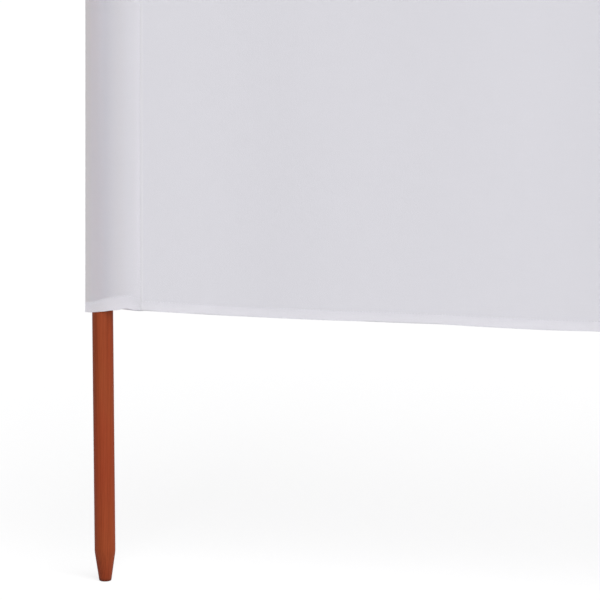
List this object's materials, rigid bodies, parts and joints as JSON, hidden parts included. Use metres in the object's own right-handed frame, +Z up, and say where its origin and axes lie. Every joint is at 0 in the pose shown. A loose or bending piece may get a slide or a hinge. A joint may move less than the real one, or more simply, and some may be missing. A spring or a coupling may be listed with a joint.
{
  "type": "beach windbreak",
  "caption": "Straight beach windbreak with pale woven cloth stretched between round wooden poles, each held in a sewn sleeve and tapered to a blunt tip for pushing into sand.",
  "frame": {"origin": "middle of the flat tip of the middle pole", "axes": "+X along the row, +Z up along the poles, -Y out of the cloth's plain side"},
  "size_m": [6.034, 0.0282, 1.2],
  "materials": {
    "stained_wood": "stained, satin",
    "cloth": "fine plain weave, matt"
  },
  "bodies": {
    "root": {"pole_1": "stained_wood", "pole_2": "stained_wood", "pole_3": "stained_wood", "pole_4": "stained_wood", "pole_5": "stained_wood", "pole_6": "stained_wood", "pole_7": "stained_wood", "pole_sleeve_1": "cloth", "pole_sleeve_2": "cloth", "pole_sleeve_3": "cloth", "pole_sleeve_4": "cloth", "pole_sleeve_5": "cloth", "pole_sleeve_6": "cloth", "pole_sleeve_7": "cloth", "cloth_panel_1": "cloth", "cloth_panel_2": "cloth", "cloth_panel_3": "cloth", "cloth_panel_4": "cloth", "cloth_panel_5": "cloth", "cloth_panel_6": "cloth"}
  },
  "joints": []
}
